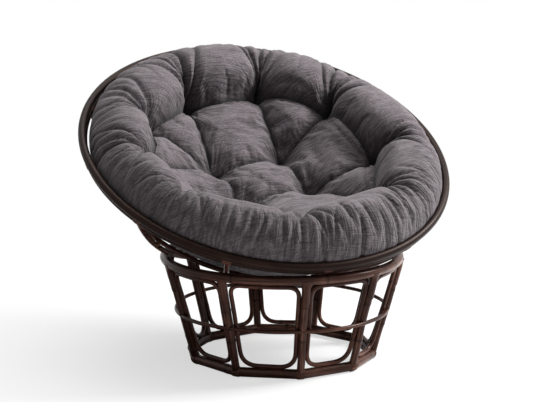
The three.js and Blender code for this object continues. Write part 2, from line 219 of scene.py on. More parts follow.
def pole(path, radius, up, closed=False, sides=16, step=0.005, wave=0.0, ring_spacing=0.26, ring_swell=0.04):
    """A stem along a path: circles square to it, a little thicker at each growth ring and slightly crooked.

    radius is one number, or an array with a value for each section or for each point of each section.
    """
    wave_length = 0.9
    wave_counts = (1, 2, 4, 7)
    ring_reach = 0.006
    scar_reach = 0.0028
    path, places, length = resampled(np.asarray(path, float), step, closed)
    side, lift = square_to(path, np.broadcast_to(np.asarray(up, float), path.shape), closed)
    for waves in wave_counts:
        phases = rng.uniform(0, 2 * pi, 2)
        turns = 2 * pi * places[:, None] * max(1, round(waves * length / wave_length)) / length
        fade = 1 if closed else np.sin(pi * places / length)[:, None]
        bend = np.sin(turns + phases[0]) * side + np.sin(turns + phases[1]) * lift
        path = path + fade * wave / waves * bend
    rings = np.cumsum(rng.uniform(0.7, 1.3, int(length / ring_spacing) + 2) * ring_spacing)
    rings = rings - rng.uniform(0, ring_spacing)
    away = np.abs(places[:, None] - rings[None, :])
    swell = np.exp(-(away / ring_reach) ** 2).sum(1)
    scar_and_painted_shade = np.exp(-(away / scar_reach) ** 2).sum(1)
    angles = 2 * pi * np.arange(sides) / sides
    circle = np.cos(angles)[:, None] * side[:, None] + np.sin(angles)[:, None] * lift[:, None]
    by_section = np.asarray(radius, float).reshape(-1, 1) if np.ndim(radius) < 2 else radius
    thickness = np.broadcast_to(by_section, (len(path), sides)) * (1 + ring_swell * swell[:, None])
    points = path[:, None] + thickness[:, :, None] * circle
    quads, i_step, k_step = rows_times_columns(len(path), sides, closed)
    around = 2 * pi * float(np.mean(thickness)) / sides
    along = length / len(path) if closed else step
    uv = (np.stack([k_step * around, i_step * along], -1) + rng.uniform(0, 5, 2)).reshape(-1, 2)
    faces = quads.tolist() if closed else with_ends(quads, len(path), sides)
    if not closed:
        caps = 0.5 * np.stack([np.cos(angles), np.sin(angles)], 1) * around
        uv = np.vstack([uv, caps[::-1], caps])
    return points.reshape(-1, 3), faces, uv, np.repeat(np.clip(scar_and_painted_shade, 0, 1), sides)


def store(mesh, name, values):
    """Keeps a number or a vector for each point of a mesh, for its material to read."""
    vectors = np.ndim(values) == 2
    layer = mesh.attributes.new(name, "FLOAT_VECTOR" if vectors else "FLOAT", "POINT")
    layer.data.foreach_set("vector" if vectors else "value", values.astype(np.float32).ravel())


def make_piece(name, parts, material, body, nodes):
    """One object of closed surfaces, with UVs in metres, and its growth rings' scars and any painted edge
    shade as an attribute.
    """
    sharp_from = 0.7
    offset, faces = 0, []
    for part_points, part_faces, _, _ in parts:
        faces += [[corner + offset for corner in face] for face in part_faces]
        offset += len(part_points)
    mesh = bpy.data.meshes.new(name)
    mesh.from_pydata(np.vstack([part[0] for part in parts]), [], faces)
    uv = np.vstack([part[2] for part in parts])
    mesh.uv_layers.new(name="along").data.foreach_set("uv", uv.astype(np.float32).ravel())
    store(mesh, "scar_and_painted_shade", np.concatenate([part[3] for part in parts]))
    mesh.shade_smooth()
    mesh.set_sharp_from_angle(angle=sharp_from)
    mesh.materials.append(material)
    piece = in_scene(name, mesh)
    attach(piece, body)
    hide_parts(*nodes)


def circle_path(centre, radius, normal, steps=720):
    """Points round a circle, counter-clockwise seen against its normal, from its +X side."""
    normal = np.asarray(normal, float)
    first = unit(np.array([1.0, 0, 0]) - normal * normal[0])
    second = np.cross(normal, first)
    turn = 2 * pi * np.arange(steps)[:, None] / steps
    return np.asarray(centre, float) + radius * (np.cos(turn) * first + np.sin(turn) * second)


def softened(corners, times):
    """Corner cutting: each pass puts new points a quarter and three quarters along every stretch."""
    for _ in range(times):
        near = 0.75 * corners[:-1] + 0.25 * corners[1:]
        far = 0.25 * corners[:-1] + 0.75 * corners[1:]
        inner = np.stack([near, far], 1).reshape(-1, corners.shape[1])
        corners = np.vstack([corners[:1], inner[1:-1], corners[-1:]])
    return corners


upward = np.array([0.0, 0, 1])
middle = np.array(base_axis)

# Base rings: the top ring is one thick stem that carries the bowl, bent to a circle and joined end to end.
# The bottom ring is bent to a corner at each post, and the slim middle ring is let into the posts.
top_ring_pole = (base_box_high.z - base_box_low.z) / 2
top_ring_radius = (base_box_high.x - base_box_low.x) / 2 - top_ring_pole
top_ring_height = (base_box_high.z + base_box_low.z) / 2
top_ring_path = circle_path(middle + top_ring_height * upward, top_ring_radius, upward)
make_piece("base_top_ring_pole", [pole(top_ring_path, top_ring_pole, upward, True, sides=24, step=0.004,
                                       wave=0.0001, ring_swell=0.01)],
           pole_rattan, "base", ["base_top_ring"])

post_count = 10
bottom_ring_pole = 0.0138
bottom_corner_reach = 0.264
bottom_corner_round = 0.012
wrap_boxes = [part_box(f"foot_wrap_{i + 1}") for i in range(post_count)]
ring_low, ring_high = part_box("base_bottom_ring")
bottom_ring_height = (ring_low.z + ring_high.z) / 2
post_turns = np.array([atan2((low + high).y / 2 - base_axis.y, (low + high).x / 2)
                       for low, high in wrap_boxes])


def around_base(reach, turn, height):
    """Points at a reach from the base's axis, at an angle from +X and a height; the arrays go together."""
    reach, turn, height = np.broadcast_arrays(reach, turn, height)
    return middle + np.stack([reach * np.cos(turn), reach * np.sin(turn), height], -1)


def rounded(corners, rounding, steps=7):
    """A closed outline whose corners are turned by parabolas that start at the rounding's distance."""
    before = np.roll(corners, 1, 0)
    after = np.roll(corners, -1, 0)
    start = corners + unit(before - corners) * np.reshape(rounding, (-1, 1))
    end = corners + unit(after - corners) * np.reshape(rounding, (-1, 1))
    t = np.linspace(0, 1, steps)[None, :, None]
    bends = (1 - t) ** 2 * start[:, None] + 2 * t * (1 - t) * corners[:, None] + t ** 2 * end[:, None]
    return bends.reshape(-1, corners.shape[1])


feet = around_base(bottom_corner_reach, post_turns, bottom_ring_height)
make_piece("base_bottom_ring_pole", [pole(rounded(feet, [bottom_corner_round] * post_count), bottom_ring_pole,
                                          upward, True, sides=20, step=0.004, wave=0.0004)],
           pole_rattan, "base", ["base_bottom_ring"])

ring_low, ring_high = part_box("base_middle_ring")
middle_ring_pole = 0.0055
middle_ring_radius = (ring_high.x - ring_low.x) / 2 - middle_ring_pole
middle_ring_height = (ring_low.z + ring_high.z) / 2
middle_ring_path = circle_path(middle + middle_ring_height * upward, middle_ring_radius, upward)
cane_rattan = stained_rattan("espresso_stained_cane", "#140605", "#351b15", "#704b3d", 0.3)
make_piece("base_middle_ring_cane", [pole(middle_ring_path, middle_ring_pole, upward, True, sides=12,
                                          wave=0.0012)],
           cane_rattan, "base", ["base_middle_ring"])

# Posts: straight rattan stems that lean out a little towards the top ring. Both ends are coped to a hollow
# that fits the ring, and nailed through it.
post_pole = 0.011
post_head_outset = 0.004
heads = around_base(top_ring_radius + post_head_outset, post_turns, top_ring_height)
for i in range(post_count):
    tangent = np.cross(upward, unit(heads[i] - middle))
    make_piece(f"post_{i + 1}_pole", [pole(np.array([feet[i], heads[i]]), post_pole, tangent, sides=18,
                                           step=0.004, wave=0.0012, ring_spacing=0.09, ring_swell=0.07)],
               pole_rattan, "base", [f"post_{i + 1}"])

# Panel loops: a slim cane bent to a closed loop with round corners fills the panel between each two posts.
# Its sides lie along the posts and its ends along the rings, and it is nailed to all four.
loop_cane = 0.0065
loop_post_gap = 0.0006
loop_ring_gap = 0.0003
loop_setback = 0.0053
loop_top_round = 0.034
loop_bottom_round = 0.046
for i in range(post_count):
    after = (i + 1) % post_count
    turn = (post_turns[after] - post_turns[i]) % (2 * pi)
    inward = -unit((feet[i] + feet[after]) / 2 * [1, 1, 0] - middle) * loop_setback

    def on_panel(across, up):
        """A place on the slanted panel: straight between the feet, on the ring's curve between the heads."""
        low = feet[i] + (feet[after] - feet[i]) * across[:, None]
        high = around_base(top_ring_radius + post_head_outset, post_turns[i] + turn * across, top_ring_height)
        return low + (high - low) * up[:, None] + inward

    ends = on_panel(np.array([0.0, 1, 0, 1, 0.5, 0.5]), np.array([0.0, 0, 1, 1, 0, 1]))
    low_width, high_width, panel_height = np.linalg.norm(ends[1::2] - ends[::2], axis=1)
    low_up = bottom_ring_pole + loop_cane + loop_ring_gap
    high_up = panel_height - top_ring_pole - loop_cane - loop_ring_gap

    def half_width(up):
        """Half the loop's width at a height: the panel's there, less the post, the gap and the cane."""
        panel_width = low_width + (high_width - low_width) * up / panel_height
        return panel_width / 2 - post_pole - loop_cane - loop_post_gap

    corners = np.array([[-half_width(low_up), low_up], [half_width(low_up), low_up],
                        [half_width(high_up), high_up], [-half_width(high_up), high_up]])
    flat = rounded(corners, [loop_bottom_round, loop_bottom_round, loop_top_round, loop_top_round], 12)
    flat = resampled(np.c_[flat, np.zeros(len(flat))], 0.005, True)[0]
    width_here = low_width + (high_width - low_width) * flat[:, 1] / panel_height
    path = on_panel(0.5 + flat[:, 0] / width_here, flat[:, 1] / panel_height)
    outward = unit(on_panel(np.array([0.5]), np.array([0.5]))[0] * [1, 1, 0] - middle)
    make_piece(f"panel_loop_{i + 1}_cane", [pole(path, loop_cane, outward, True, sides=12, wave=0.0007)],
               cane_rattan, "base", [f"panel_loop_{i + 1}"])

# Bowl: two rim poles nested flat, twelve ribs bent from the rim to the hub, and three hoops inside the ribs.
# All of them lie inside one sphere, so that the bowl can slide round on the base's top ring.
joints = {joint["name"]: joint for joint in frame["joints"]}
sphere_middle = np.array(joints["bowl_tilt"]["pos_m"])
bowl_axis = unit(np.array(joints["cushion_lift"]["axis"]))
bowl_across = np.array([1.0, 0, 0])
bowl_back = np.cross(bowl_axis, bowl_across)
bowl_stems = {"rim_upper_pole": 0.012, "rim_lower_pole": 0.0095, "bowl_hub_hoop": 0.007,
              "bowl_middle_hoop": 0.007, "bowl_upper_hoop": 0.007}
rim_rattan = stained_rattan("espresso_stained_rim_rattan", "#060202", "#130908", "#30201a", 0.42, 0.02)


def bowl_hoop(node):
    """Middle and radius of a round hoop of the bowl, from its box."""
    low, high = (np.array(corner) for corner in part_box(node))
    return (low + high) / 2, (high[0] - low[0]) / 2 - bowl_stems[node]


def turned_out(turn, back=bowl_back):
    """Directions across the bowl at a turn from +X towards a back, by the turn's cosine and sine."""
    turn = np.asarray(turn, float)[..., None]
    return np.cos(turn) * bowl_across + np.sin(turn) * back


for node, stem in bowl_stems.items():
    centre, radius = bowl_hoop(node)
    hoop_path = circle_path(centre, radius, bowl_axis)
    if node.startswith("rim"):
        make_piece(node + "_stem", [pole(hoop_path, stem, bowl_axis, True, sides=20, wave=0.0002,
                                         ring_swell=0.01)],
                   rim_rattan, "bowl", [node])
    else:
        make_piece(node + "_stem", [pole(hoop_path, stem, bowl_axis, True, sides=14, wave=0.0004)],
                   cane_rattan, "bowl", [node])

rib_count = 12
rib_stem = 0.0078
rib_past_hub = 0.022
rib_hoop_gap = 0.0008
rib_rim_overlap = 0.002
hub_centre, hub_radius = bowl_hoop("bowl_hub_hoop")
hub_reach = sqrt(np.linalg.norm(hub_centre - sphere_middle) ** 2 + hub_radius ** 2)
rib_reach = hub_reach + bowl_stems["bowl_hub_hoop"] + rib_stem + rib_hoop_gap
lower_centre, lower_radius = bowl_hoop("rim_lower_pole")
rim_lower_angle = atan2(lower_radius, np.linalg.norm(lower_centre - sphere_middle))
rib_angles = np.linspace(asin((hub_radius - rib_past_hub) / rib_reach),
                         rim_lower_angle - (bowl_stems["rim_lower_pole"] - rib_rim_overlap) / rib_reach, 90)
rib_turns = 2 * pi * np.arange(rib_count) / rib_count
for r, turn in enumerate(rib_turns):
    out_and_down = np.sin(rib_angles)[:, None] * turned_out(turn) - np.cos(rib_angles)[:, None] * bowl_axis
    rib_path = sphere_middle + rib_reach * out_and_down
    make_piece(f"bowl_rib_{r + 1}_pole", [pole(rib_path, rib_stem, turned_out(turn + pi / 2), sides=14,
                                               wave=0.0003, ring_swell=0.02)],
               pole_rattan, "bowl", [f"bowl_rib_{r + 1}"])

# Foot wraps: a strip of cane peel wound four times round each corner of the bottom ring, over nail and bend.
# The chair stands on them, so none reaches further out than down to the floor.
wrap_width = 0.018
wrap_turns = 4
wrap_thickness = 0.0018
wrap_sunk = 0.001
wrap_step = 0.0006
wrap_sides = 20
floor_gap = 0.0001
binding_peel = stained_rattan("espresso_stained_cane_peel", "#180806", "#3d221a", "#785343", 0.34)


def wound(places, length, turns, sides, sharpness):
    """Height share of a strip wound round a pole: a ridge for each turn, as a power of a sine that climbs."""
    turns_here = places[:, None] / length * turns + np.arange(sides)[None, :] / sides
    return np.abs(np.sin(pi * turns_here)) ** sharpness


def hemmed(places, length, hem):
    """Share of its thickness that a wound strip has: none at its ends, and all from the hem's width on."""
    return np.clip(np.minimum(places, length - places) / hem, 0, 1)[:, None]


for i in range(post_count):
    before, after = feet[i - 1], feet[(i + 1) % post_count]
    tails = [feet[i] + unit(end - feet[i]) * wrap_width / 2 for end in (before, after)]
    bend = np.linspace(0, 1, 40)[:, None]
    path = (1 - bend) ** 2 * tails[0] + 2 * bend * (1 - bend) * feet[i] + bend ** 2 * tails[1]
    path, places, length = resampled(path, wrap_step, False)
    ridges = wound(places, length, wrap_turns, wrap_sides, 0.35)
    hem = hemmed(places, length, wrap_step)
    reach = bottom_ring_pole - wrap_sunk + hem * (wrap_sunk + wrap_thickness * (0.35 + 0.65 * ridges))
    reach = np.minimum(reach, bottom_ring_height - floor_gap)
    make_piece(f"foot_wrap_{i + 1}_peel", [pole(path, reach, upward, sides=wrap_sides, step=wrap_step,
                                                ring_swell=0)],
               binding_peel, "base", [f"foot_wrap_{i + 1}"])

# Post straps: a tongue of cane peel over each post's head hides its nails. It is bent round the post, starts
# flat on the top ring's face, and ends rounded some 75 mm further down.
strap_half_width = 0.016
strap_length = 0.08
strap_thickness = 0.0022
strap_step = 0.0015
strap_columns = 9
strap_ring_gap = 0.0002
strap_post_gap = 0.0003
strap_ring_angles = (-0.1, -0.35, -0.6)
strap_post_places = (0.02, 0.04, 0.06, 0.075, 0.095)
strap_head_flatness = 0.05
strap_head_length = 0.012
strap_edge_share, strap_edge_fade_share = 0.8, 0.15
strap_end_painted_shade = 0.003


def strip(path, outward, half_width, bend_radius):
    """A thin peel along a path on a pole's face, as wide and as bent across as the arrays say at each point.

    Across it runs on an arc of the bend's radius, its outer face lifted by the thickness, less at the edges.
    """
    rows, columns = len(path), 2 * strap_columns
    ahead = unit(np.gradient(path, axis=0))
    outward = unit(outward - ahead * np.sum(outward * ahead, axis=1, keepdims=True))
    side = np.cross(outward, ahead)
    share = np.linspace(1, -1, strap_columns)
    shares = np.concatenate([share, share[::-1]])
    lifts = np.concatenate([strap_thickness * np.sqrt(1 - 0.8 * share ** 4), np.zeros(strap_columns)])
    angle = shares[None, :] * (half_width / bend_radius)[:, None]
    reach = bend_radius[:, None] + lifts[None, :]
    points = path[:, None] + (reach * np.sin(angle))[..., None] * side[:, None] \
        + (reach * np.cos(angle) - bend_radius[:, None])[..., None] * outward[:, None]
    quads, i_step, k_step = rows_times_columns(rows, columns, False)
    uv = np.stack([k_step * 2 * strap_half_width / strap_columns, i_step * strap_step], -1).reshape(-1, 2)
    uv = np.vstack([uv + rng.uniform(0, 5, 2), np.zeros((2 * columns, 2))])
    # Painted shade: the peel's long edges and its rounded end are darkened like the shadow in the gap under
    # them.
    edge = np.clip((np.abs(shares) - strap_edge_share) / strap_edge_fade_share, 0, 1)[None, :]
    end_shade = np.clip(1 - (rows - 1 - np.arange(rows)) * strap_step / strap_end_painted_shade, 0, 1)[:, None]
    return points.reshape(-1, 3), with_ends(quads, rows, columns), uv, np.maximum(edge, end_shade).ravel()


for i in range(post_count):
    out = unit((heads[i] - middle) * [1, 1, 0])
    ring_reach = top_ring_pole + strap_ring_gap
    on_ring = [middle + (top_ring_radius + ring_reach * cos(a)) * out
               + (top_ring_height + ring_reach * sin(a)) * upward for a in strap_ring_angles]
    down = unit(feet[i] - heads[i])
    face = np.cross(down, np.cross(out, down))
    on_post = [heads[i] + down * d + face * (post_pole + strap_post_gap) for d in strap_post_places]
    path, places, length = resampled(softened(np.array(on_ring + on_post), 3), strap_step, False)
    path, places = path[places < strap_length], places[places < strap_length]
    to_end = np.clip((places[-1] - places) / strap_half_width, 0, 1)
    half_width = strap_half_width * np.sqrt(1 - (1 - to_end) ** 2 * 0.98)
    flatter_head = strap_head_flatness * np.exp(-(places / strap_head_length) ** 2)
    bend_radius = post_pole + strap_post_gap + flatter_head
    make_piece(f"post_strap_{i + 1}_peel", [strip(path, out[None, :], half_width, bend_radius)],
               binding_peel, "base", [])

# Lashings: at each crossing of a rib and a hoop two strips of peel are tied crosswise round both, and a coil
# of peel ties each rib's end to the lower rim pole.
lashing_half_width = 0.0042
lashing_half_thickness = 0.0011
lashing_sides = 10
lashing_step = 0.004
lashing_gap = 0.0004
lashing_sunk = 0.0008
lashing_room = 0.002
lashing_reach = 1.42 * rib_stem + lashing_room


def flat_band(path, outward):
    """A closed flat strap along a loop: a pole whose section is an ellipse with its thin way outward."""
    angles = 2 * pi * np.arange(lashing_sides) / lashing_sides
    section = 1 / np.sqrt((np.cos(angles) / lashing_half_width) ** 2
                          + (np.sin(angles) / lashing_half_thickness) ** 2)
    sections = np.broadcast_to(section, (len(path), lashing_sides))
    return pole(path, sections, outward, True, sides=lashing_sides, step=lashing_step, ring_swell=0)


for node in ("bowl_hub_hoop", "bowl_middle_hoop", "bowl_upper_hoop"):
    centre, radius = bowl_hoop(node)
    bands = []
    lashing_height = bowl_stems[node] + rib_stem - lashing_sunk
    for turn in rib_turns:
        on_hoop = centre + radius * turned_out(turn)
        outward = unit(on_hoop - sphere_middle)
        hoop_way = np.cross(bowl_axis, turned_out(turn))
        rib_way = np.cross(outward, hoop_way)
        crossing = on_hoop + outward * (rib_stem + lashing_gap)
        for lean in (1, -1):
            diagonal = unit(hoop_way + lean * rib_way)
            loop_turn = np.linspace(0, 2 * pi, 400, endpoint=False)[:, None]
            loop = crossing + lashing_reach * np.cos(loop_turn) * diagonal \
                + lashing_height * np.sin(loop_turn) * outward
            loop = resampled(loop, lashing_step, True)[0]
            bands.append(flat_band(loop, unit(loop - crossing)))
    make_piece(node + "_lashings", bands, binding_peel, "bowl", [])

coil_length = 0.026
coil_turns = 5
coil_sunk = 0.0008
coil_lift = 0.0012
coil_thickness = 0.0014
coil_sides = 14
coil_step = 0.0008
coils = []
for turn in rib_turns:
    turns_here = turn + np.linspace(-0.5, 0.5, 60) * coil_length / lower_radius
    path, places, length = resampled(lower_centre + lower_radius * turned_out(turns_here), coil_step, False)
    ridges = wound(places, length, coil_turns, coil_sides, 0.4)
    hem = hemmed(places, length, 2 * coil_step)
    reach = bowl_stems["rim_lower_pole"] - coil_sunk + hem * (coil_lift + coil_thickness * ridges)
    coils.append(pole(path, reach, bowl_axis, sides=coil_sides, step=coil_step, ring_swell=0))
make_piece("rib_end_coils", coils, binding_peel, "bowl", [])

# Cushion: a round pad of polyester fill in a ribbed charcoal cotton cover, sewn through at thirteen tufts.
# The pad is wider than the bowl, so the cover gathers in pleats over the roll and folds between the tufts.
cushion_slump = radians(-3)
cushion_radius = 0.518
crest_height = 0.118
cushion_reach = 0.5815
crown_shares = np.array([
    [0, -0.72], [0.11, -0.71], [0.22, -0.67], [0.33, -0.58], [0.44, -0.4], [0.53, -0.14], [0.6, 0.2],
    [0.65, 0.56], [0.7, 0.83], [0.76, 0.98], [0.83, 1], [0.9, 0.88], [0.96, 0.66], [0.99, 0.4], [1, 0.1],
    [0.96, -0.24], [0.92, -0.52]])
underside_shares = np.array([0.84, 0.7, 0.52, 0.34, 0.16, 0])
seam_under_widest = 0.03
rim_centre, rim_radius = bowl_hoop("rim_upper_pole")
rim_plane = -np.linalg.norm(rim_centre - sphere_middle)
cushion_axis = cos(cushion_slump) * bowl_axis - sin(cushion_slump) * bowl_back
cushion_back = np.cross(cushion_axis, bowl_across)

# Its profile runs from the middle of the crown over the roll to the middle of the underside
crown = crown_shares * [cushion_radius, crest_height] + [0, rim_plane]
under_radius = underside_shares * cushion_radius
under = np.stack([under_radius, -np.sqrt(cushion_reach ** 2 - under_radius ** 2)], 1)
profile = softened(np.vstack([crown, under]), 4)
profile, profile_along, profile_length = resampled(np.c_[profile, np.zeros(len(profile))], 0.002, False)
slope = unit(np.gradient(profile[:, :2], axis=0))
widest = int(np.argmax(profile[:, 0]))
seam_along = profile_along[widest] + seam_under_widest


def crown_along(radius):
    """Distance over the crown from its middle to where its radius is the one given."""
    return np.interp(radius, profile[:widest, 0], profile_along[:widest])


# Its cover is two round sheets of cloth sewn together at their edges, each a grid whose rings map to circles
cells = 251


def disc_grid(count):
    """A square grid bent to a disc: ring and turn of each point, where each square ring becomes a circle."""
    across, up = np.meshgrid(np.linspace(-1, 1, count), np.linspace(-1, 1, count), indexing="ij")
    flat = np.abs(across) >= np.abs(up)
    ring = np.where(flat, across, up)
    other = np.where(flat, up, across)
    with np.errstate(divide="ignore", invalid="ignore"):
        lean = np.where(ring == 0, 0, other / ring) * pi / 4
    turn = np.where(flat, lean, pi / 2 - lean) + np.where(ring < 0, pi, 0)
    return np.abs(ring), turn


def listed(top, low):
    """One list of the two sheets' points, without the lower sheet's edge, which is the upper one's."""
    return np.concatenate([top.reshape(-1, *top.shape[2:]), low[1:-1, 1:-1].reshape(-1, *low.shape[2:])])


def numbered(count):
    """Point numbers of the two sheets as grids, and the faces over them, all facing out of the cushion."""
    top = np.arange(count * count).reshape(count, count)
    low = top.copy()
    low[1:-1, 1:-1] = count * count + np.arange((count - 2) ** 2).reshape(count - 2, count - 2)
    faces = [np.stack([sheet[:-1, :-1], sheet[1:, :-1], sheet[1:, 1:], sheet[:-1, 1:]], -1).reshape(-1, 4)
             for sheet in (top, low)]
    return top, low, np.vstack([faces[0], faces[1][:, ::-1]])


ring, turn = disc_grid(cells)
top_numbers, low_numbers, cover_faces = numbered(cells)
cloth_along = listed(ring * seam_along, profile_length - ring * (profile_length - seam_along))
cloth_turn = listed(turn, turn)
cloth_turn_share = cloth_turn / (2 * pi)


def flat_place(along, turn):
    """Places on the flat pattern, at a distance from its middle and a turn."""
    return np.asarray(along)[..., None] * np.stack([np.cos(turn), np.sin(turn)], -1)


def before_seam(past, width):
    """1 on the upper sheet, falling to 0 over a width that ends at a distance past the seam."""
    return np.clip((seam_along + past - cloth_along) / width, 0, 1)


cover_pattern = flat_place(cloth_along, cloth_turn)
on_top = before_seam(0.01, 0.05)
on_roll = before_seam(0.06, 0.05)


def around_turn(turn_share, centre_share, reach):
    """1 at a share of the full turn, falling smoothly to 0 at the reach on both sides."""
    away = np.abs((turn_share - centre_share + 0.5) % 1 - 0.5) / reach
    return np.cos(pi / 2 * np.clip(away, 0, 1)) ** 2


# The roll is narrower and lower in front and on the left, where a sitter's legs press it, and fullest behind.
# A place is how much narrower or higher it gets, and its middle and its reach as shares of a full turn.
narrower_places = ((0.21, 0.64, 0.17), (0.07, 0.83, 0.11))
higher_places = ((0.095, 0.3, 0.28), (0.08, 0.79, 0.09))


def pressed(shares, turn_share):
    """Share of the radius to which a share of the profile moves, and the share of its height that is left."""
    narrower = sum(amount * around_turn(turn_share, *place) for amount, *place in narrower_places)
    higher = sum(amount * around_turn(turn_share, *place) for amount, *place in higher_places)
    inner = np.clip(shares / 0.6, 0, 1)
    moved = shares + narrower * np.clip(1 - shares, 0, 1) * inner ** 2 * (3 - 2 * inner)
    return moved, 1 + higher


# Nine tufts stand in a ring under the roll, and a groove joins them and parts the roll from the seat. A row
# is a tuft: its place as shares of the radius and of a full turn, its depth, and for the groove to the next
# tuft its depth, its width on the seat's side and its bow. Four more tufts stand round the seat's middle.
outer_sewing = np.array([
    [0.6, -0.003, 0.07, 0.064, 0.08, -0.02], [0.64, 0.11, 0.086, 0.07, 0.09, -0.004],
    [0.638, 0.209, 0.092, 0.088, 0.13, -0.004], [0.622, 0.317, 0.09, 0.08, 0.1, -0.004],
    [0.642, 0.42, 0.078, 0.07, 0.08, -0.004], [0.65, 0.51, 0.084, 0.07, 0.08, -0.004],
    [0.68, 0.597, 0.09, 0.07, 0.08, -0.004], [0.64, 0.73, 0.068, 0.066, 0.08, -0.004],
    [0.63, 0.872, 0.08, 0.064, 0.08, -0.03]])
inner_tuft_shares = np.array([[0.285, 0.395], [0.345, 0.14], [0.285, 0.961], [0.255, 0.618]])
inner_tuft_depth = 0.088
seat_hollow = (0.55, 0.07, 0.11)
roll_hollow = (0.5, 0.075, 0.09)
inner_hollow = (0.6, 0.065, 0.1)
groove_roll_width = 0.07
seat_fold_depth = 0.08
seat_fold_width = 0.075
seat_fold_scatter = 0.012
inner_fold_bow = -0.008


def on_pattern(shares):
    """Places on the flat pattern of points given by a share of the cushion's radius and of a full turn."""
    steps = np.linspace(0, 1, 200)
    on_profile = np.array([np.interp(share, pressed(steps, turn_share)[0], steps)
                           for share, turn_share in shares])
    return flat_place(crown_along(on_profile * cushion_radius), 2 * pi * shares[:, 1])


def valley(distance, width):
    """Depth share across a fold: 1 and steep in it, 0 from the width on, a round pillow's side between."""
    return 1 - np.sqrt(1 - (1 - np.clip(distance / width, 0, 1)) ** 2)


def slope_side(distance, width):
    """Depth share on a fold's gentle side: 1 in the fold, 0 from the width on, half parabola, half valley."""
    return 0.5 * (1 - np.clip(distance / width, 0, 1)) ** 2 + 0.5 * valley(distance, width)


def hollow(distance, round_share, round_width, valley_width):
    """Depth share round a tuft: a share of a bell curve, and the rest a valley."""
    bell = np.exp(-(distance / round_width) ** 2)
    return round_share * bell + (1 - round_share) * valley(distance, valley_width)


def along_line(places, points):
    """Distance of each place from a line through points, and the share of the line at the nearest place."""
    nearest = np.full(len(places), 1e3)
    share = np.zeros(len(places))
    for k, (start, end) in enumerate(zip(points[:-1], points[1:])):
        line = end - start
        here = np.clip((places - start) @ line / (line @ line), 0, 1)
        distance = np.linalg.norm(places - start - here[:, None] * line, axis=1)
        closer = distance < nearest
        nearest = np.where(closer, distance, nearest)
        share = np.where(closer, (k + here) / (len(points) - 1), share)
    return nearest, share


def bowed(start, end, bow, steps=8):
    """Points from start to end on an arc that stands off its chord by the bow, to the left of it."""
    t = np.linspace(0, 1, steps)[:, None]
    line = end - start
    left = np.array([-line[1], line[0]]) / np.linalg.norm(line)
    return start + t * line + 4 * bow * t * (1 - t) * left


def deepest(depths):
    """One smooth greatest value of several depths at each place: the fourth root of their powers' sum."""
    return np.sum(np.array(depths) ** 4, axis=0) ** 0.25


outer_tufts = on_pattern(outer_sewing[:, :2])
inner_tufts = on_pattern(inner_tuft_shares)
outer_turns = 2 * pi * outer_sewing[:, 1]
next_tufts = np.roll(outer_tufts, -1, 0)
turn_from_first = np.append(outer_turns, outer_turns[0] + 2 * pi) - outer_turns[0]
groove_along = np.interp((cloth_turn - outer_turns[0]) % (2 * pi), turn_from_first,
                         np.linalg.norm(np.vstack([outer_tufts, outer_tufts[:1]]), axis=1))
seat_side = cloth_along < groove_along

# The hollows and the groove are steep on the roll's side and gentle on the seat's, open to the sitter
pulls = []
for tuft, depth in zip(outer_tufts, outer_sewing[:, 2]):
    distance = np.linalg.norm(cover_pattern - tuft, axis=1)
    pulls.append(depth * np.where(seat_side, hollow(distance, *seat_hollow), hollow(distance, *roll_hollow)))
for tuft in inner_tufts:
    distance = np.linalg.norm(cover_pattern - tuft, axis=1)
    pulls.append(inner_tuft_depth * hollow(distance, *inner_hollow))
fold_away = np.full(len(cover_pattern), 1e3)
for tuft, next_tuft, (depth, seat_width, bow) in zip(outer_tufts, next_tufts, outer_sewing[:, 3:]):
    distance, share = along_line(cover_pattern, bowed(tuft, next_tuft, bow))
    fold_away = np.minimum(fold_away, distance)
    across = np.where(seat_side, slope_side(distance, seat_width), valley(distance, groove_roll_width))
    pulls.append(depth * (0.75 + 0.25 * (2 * share - 1) ** 2) * across)
folds = []
for tuft in outer_tufts:
    nearest = inner_tufts[np.argmin(np.linalg.norm(inner_tufts - tuft, axis=1))]
    folds.append(bowed(tuft, nearest, rng.uniform(-seat_fold_scatter, seat_fold_scatter)))
for tuft, next_tuft in zip(inner_tufts, np.roll(inner_tufts, -1, 0)):
    folds.append(bowed(tuft, next_tuft, inner_fold_bow))
for line in folds:
    distance, share = along_line(cover_pattern, line)
    fold_away = np.minimum(fold_away, distance)
    pulls.append(seat_fold_depth * (0.5 + 0.5 * (2 * share - 1) ** 2) * valley(distance, seat_fold_width))
sewn = deepest(pulls) * on_top
all_tufts = np.vstack([outer_tufts, inner_tufts])
from_tufts = cover_pattern[:, None] - all_tufts[None]
tuft_away = np.min(np.linalg.norm(from_tufts, axis=2), axis=1)

# From each outer tuft one wide fold and five gathers run out over the roll, and pleats lie between them. A
# wide fold is a depth, how fast it fades, a width and a turn; a gather is a lean, a depth and a width, and
# the middle one fades as fast as its side of the cushion asks.
wide_fold = (0.058, 3, 0.13, 0)
right_wide_fold = (0.075, 1.8, 0.16, 0.12)
wide_fold_scatter = 0.01
gather_rows = ((-0.27, 0.032, 0.03), (-0.14, 0.042, 0.033), (-0.01, 0.048, 0.038), (0.12, 0.042, 0.033),
               (0.26, 0.032, 0.03))
middle_gather = 2
front_fade, back_fade = 0.7, 1.8
gather_start_share = 0.04
gather_turn_scatter = 0.035
gather_bow_scatter = 0.014
beside_groove = ((0.03, 0.011), (-0.028, 0.009))
beside_groove_width = 0.022
pleat_count = 84
pleat_starts = (-0.04, 0.06)
pleat_lengths = (0.1, 0.22)
pleat_depths = (0.009, 0.021)
pleat_widths = (0.018, 0.03)
pleat_turn_scatter = 0.05
pleat_bow_scatter = 0.006
pleat_past_seam = 0.05
lobes = []
gathers = []
